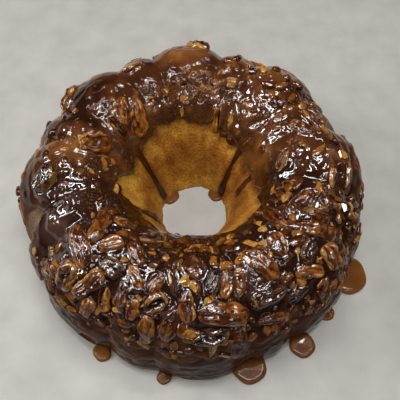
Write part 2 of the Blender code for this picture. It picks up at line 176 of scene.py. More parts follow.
lamp("tube_far_left", (-0.58, 1.08, 0.92), 0.30, 0.025, 0.5)
lamp("tube_far_right", (0.62, 0.95, 0.92), 0.30, 0.025, 0.9)
lamp("tube_aside", (0.95, 0.1, 0.85), 0.03, 0.6, 0.5)
lamp("tube_over", (0.28, -0.40, 1.06), 0.7, 0.035, 2.2)
lamp("tube_before", (-0.10, -0.95, 0.95), 0.8, 0.03, 1.8)


# The sponge: a pound cake baked in a fluted ring tin, eight broad lobes with a narrow ridge between each two.
# Golden close crumb shows in the hole, a thin brown crust outside; the glaze hides most of it.
SECTION = (
    (118.0, 0.0), (121.0, 14.0), (118.0, 42.0), (107.0, 67.0), (81.0, 82.0), (55.0, 71.0), (39.0, 45.0),
    (28.0, 18.0), (23.0, 0.0),
)
HEIGHT = 82.0
CREST_ACROSS = 105.0
LOBE_PITCH = 45.0
FIRST_LOBE = 3.0
LOBE_HALF_WIDTH = 15.0
RIDGE_HALF_WIDTH = 7.5
RIDGE_DROP = 0.42
VALLEY_DEPTH = ((0, 3.4), (30, 5.2), (60, 7.2), (78, 7.0), (100, 4.0), (125, 2.0), (160, 1.2), (209, 0.8))
SHOULDER_ACROSS = 62.0
SHOULDER_WIDTH = 32.0
SAG_AZIMUTH = 27.0
SAG_WIDTH = 10.0
SAG_DEPTH = 4.5
LEAN = 2.6
SKIRT_FROM = 246.0
SKIRT_TO = 283.0
SKIRT_OUT = 3.2
SKIRT_HEIGHT = 16.0
SPONGE_LIFT = -0.9


def section_curve():
    """Points 1 mm apart along the section, on a smooth curve through its stations."""
    stations = [Vector(p) for p in SECTION]
    stations = [2 * stations[0] - stations[1]] + stations + [2 * stations[-1] - stations[-2]]
    fine = []
    for i in range(1, len(stations) - 2):
        p0, p1, p2, p3 = stations[i - 1 : i + 3]
        knots = [0.0]
        for a, b in ((p0, p1), (p1, p2), (p2, p3)):
            knots.append(knots[-1] + math.sqrt((b - a).length))
        for step in range(40):
            u = knots[1] + (knots[2] - knots[1]) * step / 40
            a1 = p0.lerp(p1, (u - knots[0]) / (knots[1] - knots[0]))
            a2 = p1.lerp(p2, (u - knots[1]) / (knots[2] - knots[1]))
            a3 = p2.lerp(p3, (u - knots[2]) / (knots[3] - knots[2]))
            b1 = a1.lerp(a2, (u - knots[0]) / (knots[2] - knots[0]))
            b2 = a2.lerp(a3, (u - knots[1]) / (knots[3] - knots[1]))
            fine.append(b1.lerp(b2, (u - knots[1]) / (knots[2] - knots[1])))
    fine.append(stations[-2])
    points = [fine[0]]
    walked = 0.0
    for a, b in zip(fine, fine[1:]):
        length = (b - a).length
        while walked + length >= len(points):
            points.append(a.lerp(b, (len(points) - walked) / length))
        walked += length
    points.append(fine[-1])
    return np.array([tuple(p) for p in points])


CURVE = section_curve()
LENGTH = len(CURVE) - 1.0
STEPS = np.arange(len(CURVE) - 1)
CURVE_RUN = CURVE[np.minimum(STEPS + 3, len(CURVE) - 1)] - CURVE[np.maximum(STEPS - 2, 0)]
CURVE_RUN /= np.linalg.norm(CURVE_RUN, axis=1)[:, None]
CURVE_NORMAL = np.stack([CURVE_RUN[:, 1], -CURVE_RUN[:, 0]], axis=1)


def section_at(across, smooth):
    """The section's point and outward normal; smooth normals turn evenly, the others step every mm."""
    across = np.clip(across, 0.0, LENGTH)
    i = np.minimum(across.astype(int), len(CURVE) - 2)
    part = (across - i)[..., None]
    point = CURVE[i] * (1 - part) + CURVE[i + 1] * part
    if not smooth:
        return point, CURVE_NORMAL[i]
    normal = np.stack([np.interp(across, STEPS + 0.5, CURVE_NORMAL[:, k]) for k in (0, 1)], axis=-1)
    return point, normal / np.linalg.norm(normal, axis=-1)[..., None]


def turn_between(a, b):
    """The signed turn from azimuth b to azimuth a, from -180 to 180."""
    return (a - b + 180.0) % 360.0 - 180.0


def valley(azimuth):
    """0 on the crest of a lobe, 1 in the valley beside it."""
    turn = (azimuth - FIRST_LOBE + LOBE_HALF_WIDTH) % LOBE_PITCH - LOBE_HALF_WIDTH
    ridge = turn - LOBE_HALF_WIDTH - RIDGE_HALF_WIDTH
    return np.where(
        turn <= LOBE_HALF_WIDTH,
        np.abs(turn / LOBE_HALF_WIDTH) ** 2.4,
        RIDGE_DROP + (1 - RIDGE_DROP) * np.abs(ridge / RIDGE_HALF_WIDTH) ** 2,
    )


def ring_point(azimuth, across, lift=0.0, smooth=False):
    """Points of the ring's surface, in mm, lifted along the section's normal. Takes numbers or arrays."""
    azimuth = np.asarray(azimuth, float)
    across = np.asarray(across, float)
    point, normal = section_at(across, smooth)
    outer = np.maximum(0.0, 1 - across / CREST_ACROSS)
    sink = np.interp(across, *zip(*VALLEY_DEPTH)) * valley(azimuth)
    shoulder = hump(across - SHOULDER_ACROSS, SHOULDER_WIDTH)
    sink += SAG_DEPTH * shoulder * hump(turn_between(azimuth, SAG_AZIMUTH), SAG_WIDTH)
    a = np.radians(azimuth)
    sink += LEAN * outer * (0.5 + 0.5 * np.cos(a))
    sink += 0.6 * outer * np.sin(3 * a + 0.7) + 0.4 * np.sin(5 * a + across / 30.0)
    r = point[..., 0] + normal[..., 0] * (lift - sink)
    z = point[..., 1] + normal[..., 1] * (lift - sink)
    z += point[..., 1] / HEIGHT * (0.9 * np.sin(a + 2.2) + 0.5 * np.sin(3 * a + 1.1))
    along = np.clip((azimuth % 360.0 - SKIRT_FROM + 4) / (SKIRT_TO - SKIRT_FROM + 8), 0.0, 1.0)
    flare = np.clip(1 - across / SKIRT_HEIGHT, 0.0, 1.0)
    r += SKIRT_OUT * flare * np.minimum(1.0, 3 * np.sin(math.pi * along))
    return np.stack([r * np.cos(a), r * np.sin(a), z], axis=-1)


def ring_frame(azimuth, across):
    """Unit vectors along the ring, towards the hole and out of the surface, with the flutes left out."""
    a = math.radians(azimuth)
    _, normal = section_at(np.asarray(float(across)), False)
    tangent = Vector((-math.sin(a), math.cos(a), 0.0))
    out = Vector((normal[0] * math.cos(a), normal[0] * math.sin(a), normal[1]))
    return tangent, out.cross(tangent), out


def lumps(points, size, seed):
    """A smooth random field from -1 to 1, with lumps about size mm across. Size may differ by axis."""
    cell = points / np.asarray(size, float) + seed * 17.31
    base = np.floor(cell).astype(np.int64)
    part = cell - base
    part = part**3 * (part * (part * 6 - 15) + 10)
    total = np.zeros(len(points))
    for corner in itertools.product((0, 1), repeat=3):
        key = base + np.array(corner)
        code = (key[:, 0] * 73856093) ^ (key[:, 1] * 19349663) ^ (key[:, 2] * 83492791) ^ (seed * 2654435761)
        code = ((code ^ (code >> 13)) * 1274126177) & 0xFFFFFFFF
        value = ((code ^ (code >> 16)) & 0xFFFF) / 32767.5 - 1
        total += value * np.prod(np.where(corner, part, 1 - part), axis=1)
    return total


def hump(x, width):
    """1 where x is 0, falling off smoothly on both sides."""
    return np.exp(-((x / width) ** 2))


def eased(x):
    x = np.clip(x, 0.0, 1.0)
    return x * x * (3 - 2 * x)


def spread(down, along):
    """Every pair of a value from down and a value from along, as two flat lists, row by row."""
    return [g.ravel() for g in np.meshgrid(down, along, indexing="ij")]


def strips(rows, columns, first=0, close=False):
    """Quads between rows of points that run round and join up; close joins the last row to the first."""
    index = first + np.arange(rows * columns).reshape(rows, columns)
    if close:
        index = np.vstack([index, index[:1]])
    after = np.roll(index, -1, axis=1)
    return np.stack([index[:-1], after[:-1], after[1:], index[1:]], axis=-1).reshape(-1, 4)


def add_mesh(name, points, faces, material, solid=True, sharp=None, domain="POINT", **attributes):
    """An object from points in mm. A solid has its doubles joined and its faces turned outwards."""
    mesh = bpy.data.meshes.new(name)
    mesh.from_pydata((np.array(points) * 0.001).tolist(), [], [tuple(f) for f in faces])
    for key, values in attributes.items():
        mesh.attributes.new(key, "FLOAT", domain).data.foreach_set("value", np.array(values, np.float32))
    if solid:
        bm = bmesh.new()
        bm.from_mesh(mesh)
        bmesh.ops.remove_doubles(bm, verts=bm.verts, dist=1e-6)
        bmesh.ops.recalc_face_normals(bm, faces=bm.faces)
        bm.to_mesh(mesh)
        bm.free()
    mesh.shade_smooth()
    if sharp:
        mesh.set_sharp_from_angle(angle=math.radians(sharp))
    mesh.materials.append(material)
    return add_object(name, mesh)


def attribute(tree, name):
    node = tree.nodes.new("ShaderNodeAttribute")
    node.attribute_name = name
    return node.outputs["Fac"]


# Where the glaze ends in the hole: azimuth, how far down (across).
HOLE_EDGE = (
    (0, 157), (20, 162), (40, 158), (62, 150), (80, 147), (100, 144), (120, 147), (135, 150), (150, 154),
    (170, 156), (180, 144), (190, 136), (200, 140), (212, 156), (225, 148), (240, 156), (255, 158),
    (270, 148), (290, 142), (310, 138), (330, 140), (345, 150), (360, 157),
)
# Runs of glaze below that edge: azimuth, across from, across to, width, rise. The crumb beside them is
# soaked.
RUNS = (
    (9.0, 138, 184, 5.0, 1.5),
    (38.0, 140, 204, 5.2, 1.8),
    (150.0, 138, 203, 5.6, 1.8),
    (208.0, 140, 190, 5.0, 1.5),
    (252.0, 142, 178, 4.8, 1.5),
)


def run_turn(azimuth, t):
    """How a run wanders to the side on its way down."""
    return azimuth + 1.6 * np.sin(3.0 * t + azimuth)


def mixed(tree, factor, low, high, how="MIX"):
    """One colour laid over another; each of the three is a socket or a plain value."""
    node = tree.nodes.new("ShaderNodeMix")
    node.data_type = "RGBA"
    node.blend_type = how
    plug(tree, node, {0: factor, 6: low, 7: high})
    return node.outputs[2]


def bump(tree, height, depth, strength):
    """Relief from a height socket, depth in mm."""
    node = tree.nodes.new("ShaderNodeBump")
    plug(tree, node, {"Strength": strength, "Distance": depth * 0.001, "Height": height})
    return node.outputs["Normal"]


# A tone that wanders about its own value, for crumb, caramel and nut skin: Amount is how far.
uneven_tone, given, result = new_group(
    "uneven_tone", "Tone", Tone=0.5, Size=8.0, Amount=0.5, Stretch=(1.0, 1.0, 1.0)
)
wander = placed(uneven_tone, mottle, Size=given["Size"], Detail=4.0, Stretch=given["Stretch"])
wander = reckon(uneven_tone, "MULTIPLY", reckon(uneven_tone, "SUBTRACT", wander, 0.5), given["Amount"])
uneven_tone.links.new(reckon(uneven_tone, "ADD", given["Tone"], wander), result["Tone"])

crumb_material, tree, shader = new_material("golden_crumb")
# The crumb's tone, with painted light on the near left wall of the hole.
crumb_gold = attribute(tree, "gold")
crumb_tone = placed(tree, uneven_tone, Tone=crumb_gold, Size=8.0, Amount=1.0, Stretch=(1.0, 1.0, 0.4))
pores = placed(tree, mottle, Size=1.3, Detail=4.0)
golden = ramp(
    tree,
    crumb_tone,
    (0.05, (0.115, 0.038, 0.004)),
    (0.25, (0.20, 0.070, 0.007)),
    (0.5, (0.295, 0.118, 0.013)),
    (0.78, (0.46, 0.235, 0.032)),
)
crust = ramp(tree, crumb_tone, (0.3, (0.080, 0.046, 0.027)), (0.7, (0.20, 0.134, 0.082)))
baked = mixed(tree, attribute(tree, "crust"), golden, crust)
baked = mixed(tree, attribute(tree, "soak"), baked, (0.060, 0.019, 0.004))
pore_shade = ramp(tree, pores, (0.36, (0.6, 0.52, 0.42)), (0.58, (1, 1, 1)))
speckled = mixed(tree, 1.0, baked, pore_shade, "MULTIPLY")
plug(tree, shader, {"Base Color": speckled, "Roughness": 0.82, "Specular IOR Level": 0.1})
plug(tree, shader, {"Normal": bump(tree, pores, 0.6, 0.9)})

sponge_rows, sponge_columns = 125, 372
sponge_across, sponge_azimuth = spread(
    np.linspace(0, LENGTH, sponge_rows), np.linspace(0, 360, sponge_columns, endpoint=False)
)
sponge_base = ring_point(sponge_azimuth, sponge_across, SPONGE_LIFT, True)
in_hole = eased((sponge_across - 128.0) / 14.0)
sponge_lift = SPONGE_LIFT + 0.30 * lumps(sponge_base, 3.0, 1) + 0.18 * lumps(sponge_base, 1.3, 2)
sponge_lift += in_hole * 0.6 * lumps(sponge_base, (7, 7, 16), 3)
sponge_points = ring_point(sponge_azimuth, sponge_across, sponge_lift, True)
sponge_points[:, 2] = np.maximum(sponge_points[:, 2], 0.0)
foot = (sponge_across < 0.1) | (sponge_across > LENGTH - 0.1)
sponge_points[foot, 2] = 0.0
ragged = np.interp(sponge_azimuth, *zip(*HOLE_EDGE)) + 2.5 * lumps(sponge_base * (1, 1, 0.4), 6.0, 4)
soak = 0.85 * np.exp(-np.maximum(sponge_across - ragged, 0.0) / 4.5)
for azimuth, start, end, width, _ in RUNS:
    t = np.clip((sponge_across - start) / (end - start), 0.0, 1.0)
    beside = np.radians(turn_between(sponge_azimuth, run_turn(azimuth, t))) * np.hypot(*sponge_base[:, :2].T)
    ends = eased((sponge_across - start + 4) / 4) * eased((end + 6 - sponge_across) / 6)
    soak = np.maximum(soak, 0.9 * np.exp(-np.abs(beside / (0.62 * width)) ** 2.5) * ends)
soak *= in_hole * (0.85 + 0.3 * lumps(sponge_base, 4.0, 5))
# The crumb is palest near the foot and the upper edge and darker halfway down, most of all on the right wall.
# The near left wall is paler where it catches the light: painted light.
gold = 0.5 + 0.20 * eased((sponge_across - 190) / 12) - 0.10 * hump(sponge_across - 172, 12)
gold += 0.18 * hump(sponge_across - ragged - 9, 6)
gold -= 0.28 * np.exp(-((turn_between(sponge_azimuth, 8.0) / 28) ** 2) - ((sponge_across - 170) / 24) ** 2)
gold += 0.26 * np.exp(-((turn_between(sponge_azimuth, 188.0) / 20) ** 2) - ((sponge_across - 158) / 20) ** 2)
sponge_quads = strips(sponge_rows, sponge_columns, close=True)
sponge = add_mesh(
    "sponge",
    sponge_points,
    sponge_quads,
    crumb_material,
    solid=False,
    crust=1 - in_hole,
    soak=soak,
    gold=gold,
)
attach(sponge, "root")
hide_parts("cake")

# The glaze: caramel poured warm over the crest. It runs down the flutes in drips, pools in the valleys,
# climbs a little up every nut, and lies thick and smooth where no nut is.

# Pecan halves: azimuth, across, heading (0 along the ring, 90 towards the hole), length, width, what is up.
PECANS = (
    (0.5, 126.0, 150, 16.5, 7.5, "back"), (17.0, 109.0, 33, 17.5, 7.5, "back"),
    (20.0, 100.0, 14, 18.5, 6.5, "edge"), (33.0, 72.0, 70, 24.0, 11.0, "back"),
    (62.0, 58.0, 10, 22.0, 10.0, "flat"), (70.0, 143.0, 95, 19.0, 6.5, "edge"),
    (88.0, 74.0, 120, 25.0, 11.0, "back"), (112.0, 52.0, 60, 21.0, 10.0, "back"),
    (119.5, 94.0, 176, 17.0, 8.5, "edge"), (135.0, 131.5, 63, 26.0, 10.5, "back"),
    (140.5, 121.5, 57, 19.0, 8.0, "back"), (146.0, 70.0, 20, 23.0, 11.0, "flat"),
    (150.5, 126.0, 81, 16.5, 7.5, "back"), (169.0, 117.0, 118, 23.0, 13.5, "back"),
    (189.0, 88.0, 136, 20.0, 12.5, "back"), (221.5, 109.5, 124, 25.0, 9.5, "back"),
    (223.5, 93.0, 156, 27.0, 11.0, "back"), (226.5, 75.0, 94, 19.5, 11.5, "flat"),
    (229.0, 122.0, 21, 16.5, 7.5, "back"), (233.0, 104.5, 53, 16.0, 8.0, "back"),
    (234.0, 79.0, 69, 24.0, 9.5, "back"), (236.5, 64.0, 86, 16.5, 8.0, "back"),
    (238.5, 95.0, 173, 16.0, 9.5, "back"), (240.5, 75.5, 105, 18.5, 8.0, "flat"),
    (245.5, 83.5, 100, 16.0, 9.0, "back"), (244.5, 109.0, 145, 18.0, 9.5, "back"),
    (248.5, 95.5, 138, 15.5, 7.0, "back"), (246.0, 124.5, 26, 19.0, 9.5, "flat"),
    (250.5, 76.0, 94, 15.5, 7.5, "back"), (256.5, 96.0, 64, 15.5, 7.5, "back"),
    (255.5, 63.0, 94, 22.0, 9.0, "back"), (257.5, 83.5, 39, 16.0, 11.0, "flat"),
    (262.0, 101.0, 110, 19.0, 6.5, "edge"), (263.5, 72.5, 78, 22.0, 9.0, "back"),
    (268.5, 85.0, 94, 18.5, 8.0, "back"), (271.5, 107.0, 114, 16.5, 10.0, "back"),
    (275.5, 65.0, 10, 21.5, 9.0, "flat"), (277.5, 98.5, 64, 16.5, 7.5, "back"),
    (280.5, 77.5, 161, 30.0, 13.0, "back"), (282.5, 95.5, 70, 16.0, 7.0, "back"),
    (283.5, 51.5, 81, 25.0, 11.0, "back"), (287.5, 94.5, 65, 17.0, 7.5, "back"),
    (296.0, 81.5, 6, 24.0, 12.5, "back"), (295.0, 64.5, 172, 17.0, 8.0, "back"),
    (298.0, 99.5, 119, 24.0, 11.0, "back"), (305.5, 71.0, 12, 16.5, 8.5, "back"),
    (309.0, 105.0, 73, 17.0, 9.5, "back"), (312.0, 79.5, 149, 18.0, 8.0, "back"),
    (316.0, 90.0, 32, 15.5, 7.5, "back"), (319.5, 118.0, 73, 22.0, 8.5, "back"),
    (321.0, 76.0, 77, 18.0, 10.5, "back"), (325.0, 92.0, 117, 25.0, 10.0, "back"),
    (331.0, 96.0, 116, 18.0, 7.5, "back"), (333.5, 109.5, 152, 22.0, 11.5, "back"),
    (348.0, 61.0, 100, 20.0, 10.0, "back"), (351.0, 94.5, 4, 17.0, 6.5, "edge"),
    (354.5, 82.0, 7, 18.0, 6.5, "edge"),
)
# Chopped pecan: azimuth, across, heading, length, width.
BITS = (
    (1.5, 103.0, 141, 11.0, 5.0), (6.0, 112.0, 60, 7.0, 5.0), (19.0, 139.0, 16, 7.5, 5.5),
    (28.5, 100.0, 110, 8.0, 5.0), (31.5, 116.0, 48, 7.0, 6.3), (36.0, 148.0, 80, 7.0, 5.5),
    (38.0, 111.0, 37, 10.0, 4.5), (47.5, 145.0, 31, 6.5, 4.8), (51.5, 154.0, 150, 6.5, 5.0),
    (54.0, 99.0, 43, 9.5, 5.0), (57.5, 140.0, 103, 10.8, 4.4), (60.5, 152.0, 21, 6.5, 4.6),
    (67.0, 115.0, 0, 9.6, 7.0), (69.5, 90.0, 129, 8.0, 4.8), (97.5, 129.5, 167, 9.0, 4.4),
    (99.5, 139.0, 70, 9.0, 4.4), (154.0, 93.0, 41, 6.5, 4.8), (168.5, 93.0, 44, 12.0, 5.7),
    (169.0, 78.0, 44, 11.0, 5.7), (176.0, 134.0, 79, 7.8, 5.0), (178.5, 88.0, 18, 9.6, 5.7),
    (182.5, 102.0, 29, 6.5, 4.4), (184.5, 128.0, 90, 6.5, 4.4), (197.5, 136.0, 138, 11.0, 7.0),
    (216.5, 79.5, 86, 11.0, 5.0), (232.0, 114.5, 20, 11.0, 6.0), (241.5, 134.5, 10, 11.0, 5.7),
    (244.0, 61.5, 91, 10.0, 6.0), (250.5, 113.0, 18, 5.5, 4.4), (250.0, 53.0, 112, 6.5, 4.4),
    (254.0, 106.5, 48, 8.0, 5.0), (257.5, 113.5, 33, 6.0, 4.8), (261.0, 119.5, 8, 7.5, 5.2),
    (264.0, 130.0, 0, 8.0, 5.6), (262.0, 56.0, 61, 8.5, 4.8), (269.0, 55.5, 11, 6.6, 5.7),
    (275.5, 51.5, 90, 8.3, 5.6), (279.5, 111.0, 80, 10.0, 5.0), (288.5, 118.0, 123, 7.5, 5.6),
    (289.0, 67.0, 170, 6.0, 4.6), (293.5, 127.0, 9, 6.5, 4.9), (295.5, 50.5, 136, 7.3, 4.9),
    (299.5, 114.5, 144, 10.0, 5.7), (303.0, 58.0, 36, 9.5, 7.5), (303.5, 125.0, 116, 9.0, 6.5),
    (309.5, 118.0, 73, 6.7, 5.6), (312.0, 61.5, 120, 10.0, 5.7), (313.5, 68.5, 20, 8.0, 4.4),
    (321.0, 60.0, 97, 8.7, 5.6), (333.0, 82.5, 111, 8.0, 4.4), (338.5, 93.5, 37, 9.6, 6.3),
    (341.0, 80.0, 121, 7.5, 5.6), (342.5, 87.0, 105, 9.0, 5.0), (346.5, 83.5, 114, 6.0, 5.4),
)
# Areas with fine bits besides: azimuth from, to, across from, to, how many. Then the fine bits' least and
# greatest size, and how far apart they lie.
STREWN = (
    (72.0, 128.0, 112.0, 128.0, 5),
    (22.0, 58.0, 120.0, 136.0, 3),
    (176.0, 214.0, 110.0, 124.0, 3),
    (40.0, 140.0, 40.0, 82.0, 3),
)
FINE_BIT = (4.6, 6.2)
CLEAR = 0.6


def lying(azimuth, across, heading):
    """The long axis of a nut on the surface, then the ring's own three directions there."""
    tangent, inward, out = ring_frame(azimuth, across)
    h = math.radians(heading)
    return tangent * math.cos(h) + inward * math.sin(h), tangent, inward, out


def samples_of(azimuth, across, heading, length, width):
    """Points and radii that stand for one nut."""
    axis = lying(azimuth, across, heading)[0]
    centre = Vector(ring_point(azimuth, across))
    return [(centre + axis * t * length / 2, width / 2) for t in (-0.8, -0.4, 0.0, 0.4, 0.8)]


def strewn_bits(rng):
    """Fine bits over the areas named above, clear of the nuts and of each other."""
    taken = []
    for row in PECANS + BITS:
        taken += samples_of(*row[:5])
    found = []
    for from_azimuth, to_azimuth, from_across, to_across, count in STREWN:
        lying_there = 0
        for _ in range(400):
            azimuth = rng.uniform(from_azimuth, to_azimuth)
            across = rng.uniform(from_across, to_across)
            size = rng.uniform(*FINE_BIT)
            here = Vector(ring_point(azimuth, across))
            if any((here - there).length < radius + size * 0.6 + CLEAR for there, radius in taken):
                continue
            taken.append((here, size / 2))
            found.append((azimuth, across, rng.uniform(0, 180), size, size * 0.8))
            lying_there += 1
            if lying_there == count:
                break
    return tuple(found)


def distance_to_nut(azimuth, across, row):
    """How far each surface point is from the rim of a nut's oval, in mm, negative inside it."""
    nut_azimuth, nut_across, heading, length, width = row[:5]
    near = ring_radius(nut_across)
    u = np.radians(turn_between(azimuth, nut_azimuth)) * near
    v = across - nut_across
    h = math.radians(heading)
    p = (u * math.cos(h) + v * math.sin(h)) / (length / 2)
    q = (v * math.cos(h) - u * math.sin(h)) / (width / 2)
    reach = np.sqrt(p * p + q * q)
    scale = np.sqrt((p * length / 2) ** 2 + (q * width / 2) ** 2) / np.maximum(reach, 1e-6)
    return (reach - 1) * scale


def ring_radius(across):
    return float(np.interp(across, np.arange(len(CURVE)), CURVE[:, 0]))


# The part draws 24 numbers for the shape of each bit before it rolls the halves to one side, up to 9 degrees.
# The same numbers are drawn here, so that each half rolls as its solid does.
DRAWS_FOR_A_BIT = 24
MOST_ROLL = 9
nut_rng = random.Random(7)
ALL_BITS = BITS + strewn_bits(nut_rng)
for _ in range(DRAWS_FOR_A_BIT * len(ALL_BITS)):
    nut_rng.random()
ROLLS = [nut_rng.uniform(-MOST_ROLL, MOST_ROLL) for _ in PECANS]

# Lower ends of the drips outside: azimuth, half width in degrees, how far down (across).
DRIPS = (
    (8, 5, 14), (21, 4, 30), (33, 4, 8), (47, 5, 22), (60, 4, 12), (73, 4, 34), (84, 5, 16), (97, 6, 2),
    (109, 4, 26), (121, 5, 10), (133, 4, 30), (146, 5, 6), (158, 4, 24), (169, 5, 12), (178, 5, 2),
    (189, 4, 20), (199, 3, 34), (207, 4, 10), (217, 4, 26), (226, 5, 6), (348, 5, 10), (358, 4, 26),
)
# Patches of the glaze, each with azimuth, across, half width in degrees, half length in mm.
# Bare crust showing through:
BARE = ((199, 57, 4.5, 19), (214, 44, 3, 10), (190, 30, 4.5, 14), (236, 22, 2.5, 8), (330, 20, 3, 8))
# Calm glaze without nuts under it:
CALM = (
    (206, 94, 16, 20), (288, 94, 5, 12), (0, 108, 18, 14), (110, 74, 50, 34), (40, 84, 26, 24),
    (154, 106, 12, 12),
)
# Glaze as smooth as poured:
SMOOTH = ((100, 80, 28, 30), (130, 86, 18, 22), (58, 66, 18, 18), (160, 84, 12, 14), (300, 100, 5, 8))
# Glaze that set in thick folds, whose creases shine in a net of lines:
CREASED = ((206, 84, 18, 26), (292, 94, 7, 16), (350, 100, 12, 14))
# Folds that stand up in the thick glaze, each a line of azimuth, across:
FOLDS = (
    ((204, 85), (204, 92), (202, 101), (201, 107)),
    ((208, 92), (209, 97), (209, 102), (206, 105), (202, 105), (198, 108)),
    ((209, 102), (214, 105), (217, 110), (219, 105), (217, 102), (216, 95), (214, 90), (214, 84)),
    ((208, 88), (211, 90), (214, 92), (216, 89), (216, 84), (220, 88)),
    ((188, 100), (190, 96), (194, 89), (196, 86), (193, 79)),
    ((294, 105), (292, 98), (292, 96), (295, 91), (298, 86), (296, 84), (292, 86)),
    ((292, 100), (288, 95), (288, 89), (289, 86)),
    ((349, 115), (346, 109), (342, 104), (338, 99)),
    ((356, 108), (350, 104), (348, 99), (344, 93)),
)
FOLD_HEIGHT = 0.85
FOLD_HALF_WIDTH = 1.25
# Glaze where it set thick, with a painted sheen: a purple-grey reflection painted into its colour:
PAINTED_SHEEN_PATCHES = ((204, 88, 15, 24), (289, 94, 5, 12), (2, 100, 6, 8))
# Glaze that stays dull, over crumbs and on the far crests:
DULL = ((148, 104, 18, 17), (266, 124, 44, 16), (92, 118, 40, 12))
HALF_DULL = ((92, 96, 40, 24), (130, 88, 16, 14))
# Glaze full of the finest crumbs of nut:
CRUMBLY = ((180, 110, 12, 18), (205, 118, 11, 10), (92, 124, 36, 12), (40, 130, 22, 11), (262, 126, 30, 12))


def patches(azimuth, across, rows):
    """1 in the middle of each listed patch, 0 outside them all."""
    total = np.zeros(len(azimuth))
    for at, middle, half_turn, half_length in rows:
        e = (turn_between(azimuth, at) / half_turn) ** 2 + ((across - middle) / half_length) ** 2
        total = np.maximum(total, np.exp(-e * e))
    return total


def distance_to_fold(azimuth, across, fold):
    """How far each surface point is from a fold's line, in mm."""
    best = np.full(len(azimuth), np.inf)
    for (from_azimuth, from_across), (to_azimuth, to_across) in zip(fold, fold[1:]):
        near = ring_radius((from_across + to_across) / 2)
        u = np.radians(turn_between(azimuth, from_azimuth)) * near
        v = across - from_across
        run_u, run_v = math.radians(to_azimuth - from_azimuth) * near, to_across - from_across
        t = np.clip((u * run_u + v * run_v) / (run_u**2 + run_v**2), 0, 1)
        best = np.minimum(best, np.hypot(u - t * run_u, v - t * run_v))
    return best


glaze_rows, glaze_columns = 164, 592
glaze_across, glaze_azimuth = spread(
    np.interp(np.linspace(0, 1, glaze_rows), (0, 0.17, 0.83, 1), (0, 43, 130, 166)),
    np.linspace(0, 360, glaze_columns, endpoint=False),
)
# The columns stand closer on the near side, where most of the nuts are.
glaze_azimuth = glaze_azimuth + 13.0 * np.cos(np.radians(glaze_azimuth))
flat = ring_point(glaze_azimuth, glaze_across, 0.0, True)


def on_glaze(rows):
    return patches(glaze_azimuth, glaze_across, rows)


calm = on_glaze(CALM)
crumbly = on_glaze(CRUMBLY)
smooth = on_glaze(SMOOTH)
from_front = turn_between(glaze_azimuth, 270.0)
front = eased((95 - from_front) / 30) * eased((95 + from_front) / 30)

drip_root = 42.0
lower = np.full(len(flat), drip_root)
lower -= drip_root * eased((62 - np.abs(turn_between(glaze_azimuth, 285.0))) / 8)
for at, half, reach in DRIPS:
    lower -= (drip_root - reach) * np.exp(-((turn_between(glaze_azimuth, at) / half) ** 4))
lower += 2.0 * lumps(flat * (1, 1, 0.2), 9.0, 11)
upper = np.interp(glaze_azimuth, *zip(*HOLE_EDGE)) + 3.0 * lumps(flat * (1, 1, 0.3), 7.0, 12)
upper += 2.6 * lumps(flat * (1, 1, 0.25), 3.2, 24)
edge = np.minimum(glaze_across - lower, upper - glaze_across)
edge = np.where(lower < 1.0, upper - glaze_across, edge)
bare = on_glaze(BARE) + 0.25 * lumps(flat, 5.0, 13)
edge = np.minimum(edge, 4.0 - 9.0 * bare)
cover = eased(edge / 2.6) ** 0.6

lift = 0.10 + 0.45 * lumps(flat, 15.0, 14) * (1 - 0.3 * calm) * (1 - 0.88 * smooth)
lift += 0.5 * (1 - calm) * (0.35 - np.abs(lumps(flat, 6.5, 15))) * (0.4 + 0.6 * front)
lift += 0.07 * (1 - calm) * lumps(flat, 2.8, 16)
lift += 1.2 * on_glaze(CREASED) * (0.25 - np.abs(lumps(flat, 7.5, 23)))
for fold in FOLDS:
    away = distance_to_fold(glaze_azimuth, glaze_across, fold)
    lift += FOLD_HEIGHT * hump(away, FOLD_HALF_WIDTH) * (0.8 + 0.5 * lumps(flat, 4.0, 27))
wall = eased((75 - glaze_across) / 25)
lift += wall * 0.32 * lumps(ring_point(glaze_azimuth, glaze_across * 0.25, 0.0, True), (5.5, 5.5, 9), 17)
lift += crumbly * 0.42 * np.maximum(0.0, lumps(flat, 1.9, 18) - 0.05)
lift += 0.9 * hump(edge - 2.6, 2.4) * (edge > 0)


def climb(gap):
    """How the glaze climbs towards the rim of a nut, 1 at the rim."""
    return hump(np.maximum(gap, 0.0), 1.6) * eased((gap + 2.5) / 2.5)


near_half = np.min([distance_to_nut(glaze_azimuth, glaze_across, row) for row in PECANS], axis=0)
near_bit = np.min([distance_to_nut(glaze_azimuth, glaze_across, row) for row in ALL_BITS], axis=0)
nearest = np.minimum(near_half, near_bit)
lift += np.maximum(1.2 * climb(near_half), 0.5 * climb(near_bit))
lift -= 0.8 * eased((-near_half - 1.0) / 1.5)

# Small pieces of nut wholly under the glaze.
HIDDEN_PIECES = 420
hidden_rng = random.Random(21)
on_top = np.zeros(len(flat))
for _ in range(HIDDEN_PIECES):
    row = (
        hidden_rng.uniform(0, 360),
        hidden_rng.uniform(40, 138),
        hidden_rng.uniform(0, 180),
        hidden_rng.uniform(3.2, 8.5),
        hidden_rng.uniform(2.4, 4.6),
    )
    aside, below = np.abs(turn_between(glaze_azimuth, row[0])), np.abs(glaze_across - row[1])
    near = np.flatnonzero((aside < 12) & (below < 8))
    middle = near[np.argmin(aside[near] + below[near])]
    if nearest[middle] < 2.0 or hidden_rng.random() < 0.8 * calm[middle] + smooth[middle]:
        continue
    d = distance_to_nut(glaze_azimuth[near], glaze_across[near], row)
    rise = 0.5 + 0.9 * hidden_rng.random()
    on_top[near] = np.maximum(on_top[near], rise * eased(0.5 - d / row[4]) ** 0.8)
on_top *= 0.85 + 0.45 * lumps(flat, 2.8, 28)
lift += on_top
